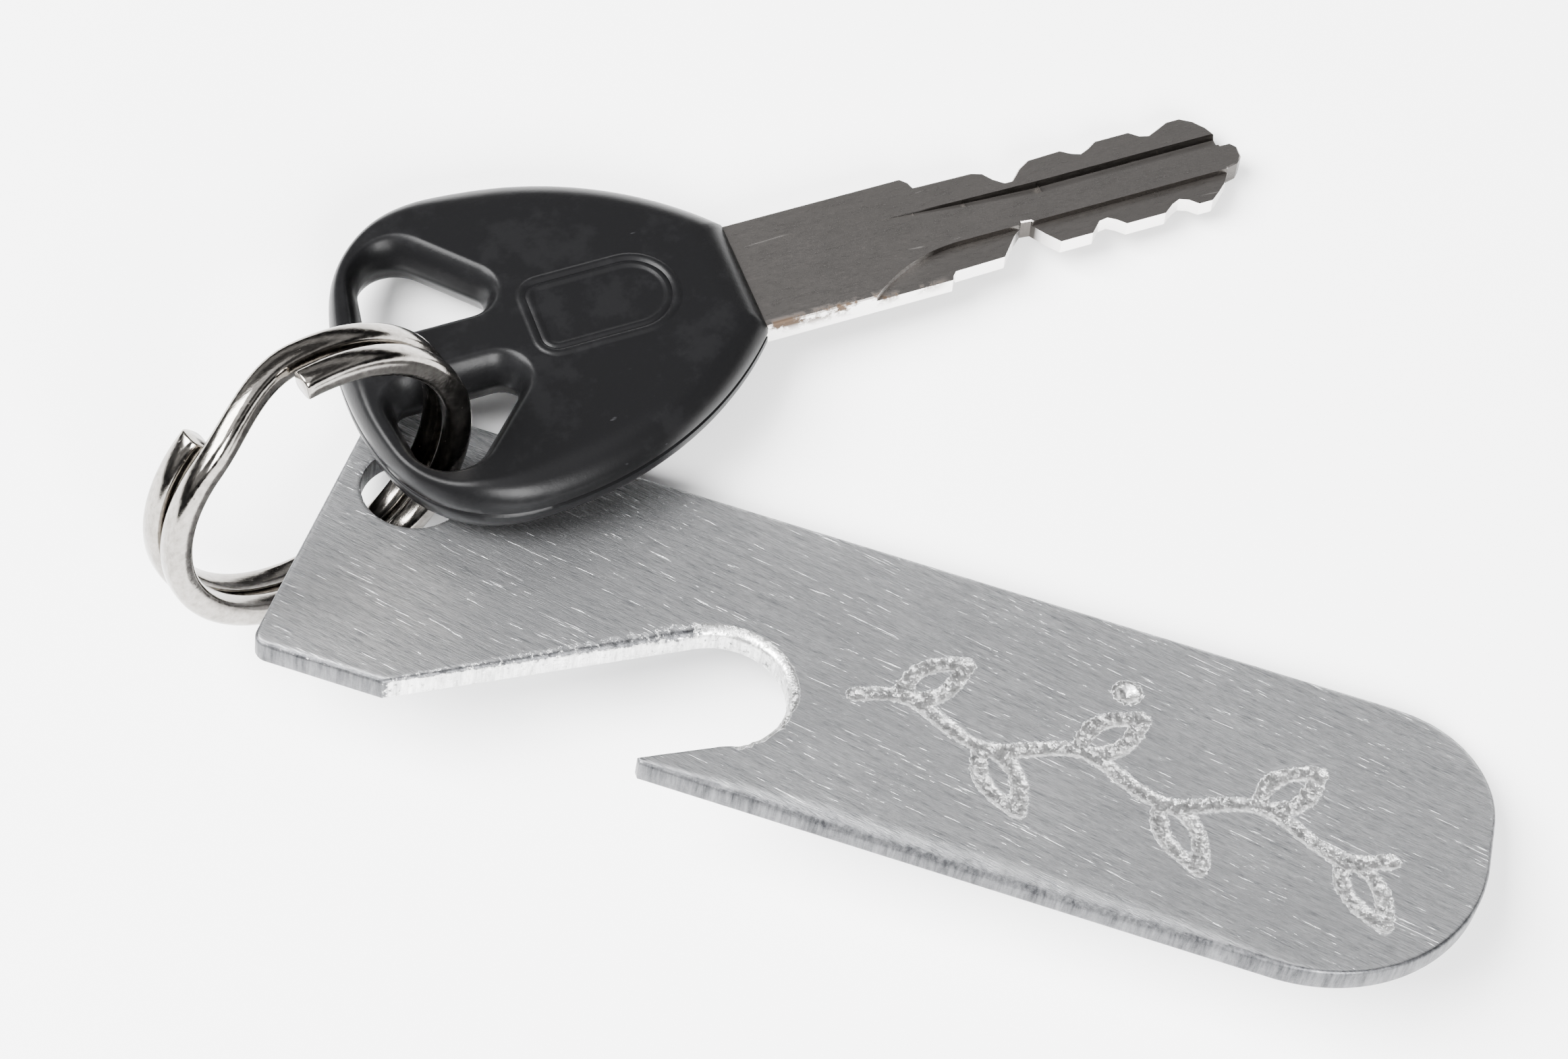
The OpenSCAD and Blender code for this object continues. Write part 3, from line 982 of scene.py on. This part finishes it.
def strip_tool(bm):
    """A thick plate whose corner is the rim of the disc cutter, seen from above."""
    pen = Pen(bm, 45.0, STRIP_Y, BLADE_T / 2 - STRIP_DEPTH, 0.25)
    pen.line(STRIP_FROM, STRIP_Y)
    pen.arc(STRIP_FROM, STRIP_Y - STRIP_DISC, 60)
    pen.line(45.0, pen.loop[-1].co.y)
    face = bmesh.ops.contextual_create(bm, geom=loop_edges(bm, pen.close()))["faces"]
    grown = bmesh.ops.extrude_face_region(bm, geom=face)["geom"]
    for v in grown:
        if isinstance(v, bmesh.types.BMVert):
            v.co.z = BLADE_T


def cutter(build, turn):
    bm = bmesh.new()
    build(bm)
    bmesh.ops.transform(bm, matrix=turn, verts=bm.verts)
    bmesh.ops.recalc_face_normals(bm, faces=bm.faces)
    mesh = bpy.data.meshes.new("cutter")
    bm.to_mesh(mesh)
    bm.free()
    return bpy.data.objects.new("cutter", mesh)


def cut_with(piece, tool):
    bpy.context.scene.collection.objects.link(tool)
    modifier = piece.modifiers.new("cut", "BOOLEAN")
    modifier.object, modifier.operation, modifier.solver = tool, "DIFFERENCE", "EXACT"
    graph = bpy.context.evaluated_depsgraph_get()
    mesh = bpy.data.meshes.new_from_object(piece.evaluated_get(graph))
    piece.modifiers.clear()
    piece.data = mesh
    bpy.data.objects.remove(tool)


def mill_blade(bm):
    mesh = bpy.data.meshes.new("blank")
    bm.to_mesh(mesh)
    bm.free()
    blank = bpy.data.objects.new("blank", mesh)
    bpy.context.scene.collection.objects.link(blank)
    for build in (groove_tool, strip_tool):
        for flip in (0, 180):
            cut_with(blank, cutter(build, Matrix.Rotation(math.radians(flip), 4, "X")))
    done = bmesh.new()
    done.from_mesh(blank.data)
    bpy.data.objects.remove(blank)
    return done


blade_mesh = mill_blade(build_blade())
print("milled blade has", len(blade_mesh.faces), "faces and",
      sum(e.is_boundary for e in blade_mesh.edges), "open edges")
blade_piece = place_piece("milled_blade", blade_mesh, KEY, "key", "key_blade", steel, 30)
print(blade_piece.name, "is in place")

# %% [markdown]
# ## The key's head
# The head is black plastic, moulded round the end of the blade in two half moulds, which leave a
# parting line round the middle. It has a wide soft bevel, two openings that get wider towards both
# faces, and a bordered plaque that is left plain. It is built the same way as the bar: outlines
# are drawn with the pen and grown in rings, and the flat parts between them are filled.

# %% Black plastic
def make_plastic():
    material, tree, shader, place = new_finish("black_moulding", KEY)
    texture = use_group(tree, grain_group, Vector=place, Stretch=(1.0, 1.0, 1.0), Fineness=3.2)
    dust = use_group(tree, patch_group, Vector=place, Size=1.9, Amount=0.0)
    haze = use_group(tree, patch_group, Vector=place, Size=0.25, Amount=0.55)
    scratch = use_group(tree, scratch_group, Vector=place, Stretch=(0.3, 1.0, 1.0), Size=0.9,
                        Amount=0.35)
    black, worn_black = (0.004, 0.004, 0.0043, 1), (0.0052, 0.0052, 0.0056, 1)
    colour = mix_colour(tree, haze.outputs["Mask"], black, worn_black)
    colour = mix_colour(tree, dust.outputs["Mask"], colour, (0.12, 0.11, 0.10, 1))
    marks = math_node(tree, "MULTIPLY", scratch.outputs["Mask"], 0.4)
    colour = mix_colour(tree, marks, colour, (0.04, 0.04, 0.043, 1))
    tree.links.new(colour, shader.inputs["Base Color"])
    rough = plus(tree, mix_value(tree, haze.outputs["Mask"], 0.31, 0.35), scratch.outputs["Mask"], 0.15)
    tree.links.new(rough, shader.inputs["Roughness"])
    height = plus(tree, texture.outputs["Height"], scratch.outputs["Mask"], -0.5)
    tree.links.new(bump(tree, height, 0.5, 0.00003), shader.inputs["Normal"])
    shader.inputs["Specular IOR Level"].default_value = 0.11
    return material


plastic = make_plastic()
print("made", plastic.name)

# %% Head outlines
HEAD_L, HEAD_W, NECK = 31.0, 29.0, 5.0
SIDE_X, BACK_R = -20.5, 9.8
SIDE_R = (SIDE_X ** 2 + (HEAD_W / 2 - NECK) ** 2) / (HEAD_W - 2 * NECK)
HEAD_STEP = 0.45
PLAQUE_X0, PLAQUE_X1, PLAQUE_HALF, PLAQUE_R = -17.2, -9.0, 3.9, 2.0
# The three rounded corners of an opening: centre, radius, and the angles where they start and end.
OPENING_ROUNDS = [((-20.4, 4.2), 1.3, -90, 42), ((-25.1, 7.3), 2.6, 42, 172),
                  ((-26.8, 4.2), 1.3, 172, 270)]


def draw_head(bm):
    side_y = HEAD_W / 2 - SIDE_R
    corner_y = HEAD_W / 2 - BACK_R
    reach = HEAD_L - BACK_R
    back_x = (SIDE_X ** 2 + corner_y ** 2 - reach ** 2) / (2 * (reach + SIDE_X))
    start = math.degrees(math.atan2(NECK - side_y, -SIDE_X))
    back = math.degrees(math.atan2(corner_y, SIDE_X - back_x))
    pen = Pen(bm, 0, -NECK, 0, HEAD_STEP)
    pen.line(0, NECK)
    pen.arc(SIDE_X, side_y, 90 - start)
    pen.arc(SIDE_X, corner_y, back - 90)
    pen.arc(back_x, 0, 2 * (180 - back))
    pen.arc(SIDE_X, -corner_y, back - 90)
    pen.arc(SIDE_X, -side_y, 90 - start)
    return pen.close()


def draw_opening(bm):
    """The narrowest place of an opening, in the middle plane."""
    pen = Pen(bm, -26.8, 2.9, 0, 0.3)
    for (cx, cy), radius, begin, finish in OPENING_ROUNDS:
        a = math.radians(begin)
        pen.line(cx + radius * math.cos(a), cy + radius * math.sin(a))
        pen.arc(cx, cy, finish - begin)
    return pen.close()


def draw_plaque(bm, z):
    pen = Pen(bm, PLAQUE_X0 + PLAQUE_R, -PLAQUE_HALF, z, 0.3)
    pen.line(PLAQUE_X1, -PLAQUE_HALF)
    pen.arc(PLAQUE_X1, 0, 180)
    pen.line(PLAQUE_X0 + PLAQUE_R, PLAQUE_HALF)
    pen.arc(PLAQUE_X0 + PLAQUE_R, PLAQUE_HALF - PLAQUE_R, 90)
    pen.line(PLAQUE_X0, PLAQUE_R - PLAQUE_HALF)
    pen.arc(PLAQUE_X0 + PLAQUE_R, PLAQUE_R - PLAQUE_HALF, 90)
    return pen.close()


print("head is", HEAD_L, "by", HEAD_W, "mm")

# %% Build the head
HEAD_T = 5.2
# Rings of the outside, from the parting groove to the flat face: how far in, and how high.
HEAD_RINGS = [(0.2, 0.1), (0.0, 0.22), (0.0, 0.8), (0.18, 1.25), (0.55, 1.7), (1.0, 2.1),
              (1.5, 2.37), (2.0, 2.53), (2.5, 2.59), (2.8, 2.6), (3.05, 2.6)]
# Rings of an opening, from the middle plane to the face: how far out of the opening, and how high.
RIM_RINGS = [(0.0, 0.15), (0.12, 0.5), (0.3, 1.1), (0.5, 1.6), (0.74, 2.0), (0.98, 2.3),
             (1.18, 2.5), (1.34, 2.58), (1.46, 2.6), (1.6, 2.6)]
# Rings of the plaque's double border: how far in, and how far over the face.
PLAQUE_RINGS = [(0.1, 0.0), (0.22, 0.07), (0.36, 0.11), (0.5, 0.11), (0.64, 0.05), (0.8, -0.03),
                (0.95, 0.04), (1.08, 0.07), (1.22, 0.05), (1.38, -0.05), (1.55, -0.06), (1.7, -0.06)]
PARTING_DEPTH = 0.2


def wall_scales(loop, others, share, full):
    """Where the wall beside an opening is thin, its two roundings share it and its ridge is lower."""
    across, height = [], []
    for v in loop:
        wall = min((v.co - o.co).length for o in others)
        across.append(min(1.0, share * wall / full))
        height.append(1 - 0.18 * min(1, max(0, (3.4 - wall) / 1.3)))
    return smoothed(across, 12), smoothed(height, 12)


def head_half(bm, walls, side):
    """Grows one face of the head from the loops in the middle plane."""
    edges = []
    for loop, flat, ways, rings, (across, height) in walls:
        ring = loop
        for out, z in rings:
            ring = next_loop(bm, ring, lambda i: (flat[i] + ways[i] * out * across[i]
                                                  + Vector((0, 0, z * height[i] * side))))
        edges += loop_edges(bm, ring)
    face = HEAD_T / 2 * side
    border = draw_plaque(bm, face)
    flat, ways, ring = [v.co.copy() for v in border], inward(border), border
    for inset, z in PLAQUE_RINGS:
        ring = next_loop(bm, ring, lambda i: flat[i] + ways[i] * inset + Vector((0, 0, z * side)))
    bmesh.ops.contextual_create(bm, geom=loop_edges(bm, ring))
    edges += loop_edges(bm, border)
    bmesh.ops.triangle_fill(bm, use_beauty=True, edges=edges, normal=(0, 0, side))


def mitred(loop, ways):
    """Bends the ways inward near the two front corners, so that the grown rings don't cross there."""
    turn = math.atan2(NECK - HEAD_W / 2 + SIDE_R, -SIDE_X)
    lean = math.tan(turn / 2)
    bent = []
    for v, way in zip(loop, ways):
        corner = Vector((0, math.copysign(NECK, v.co.y), 0))
        if v.co.x > -0.001:
            bent.append(Vector((-1, -v.co.y / NECK * lean, 0)))
        else:
            fade = max(0, 1 - (v.co - corner).length / 9) ** 2
            bent.append(way + Vector((way.y, -way.x, 0)) * math.copysign(1, -v.co.y) * -lean * fade)
    return bent


def build_head():
    bm = bmesh.new()
    outline = draw_head(bm)
    upper, lower = draw_opening(bm), draw_opening(bm)
    for v in lower:
        v.co.y *= -1
    lower.reverse()
    scales = wall_scales(outline, upper + lower, 0.42, 3.05)
    ways = mitred(outline, inward(outline))
    walls = [(outline, [v.co.copy() for v in outline], ways, HEAD_RINGS, scales)]
    for loop in (upper, lower):
        scales = wall_scales(loop, outline, 0.5, 1.6)
        out = [-way for way in inward(loop)]
        walls.append((loop, [v.co.copy() for v in loop], out, RIM_RINGS, scales))
    for v, way in zip(outline, ways):                   # the bottom of the parting groove
        v.co += way * PARTING_DEPTH
    head_half(bm, walls, 1)
    head_half(bm, walls, -1)
    return bm


head_mesh = build_head()
print("head has", len(head_mesh.faces), "faces and",
      sum(e.is_boundary for e in head_mesh.edges), "open edges")
head_piece = place_piece("moulded_head", head_mesh, KEY, "key", "key_head", plastic, 40)
print(head_piece.name, "is in place")
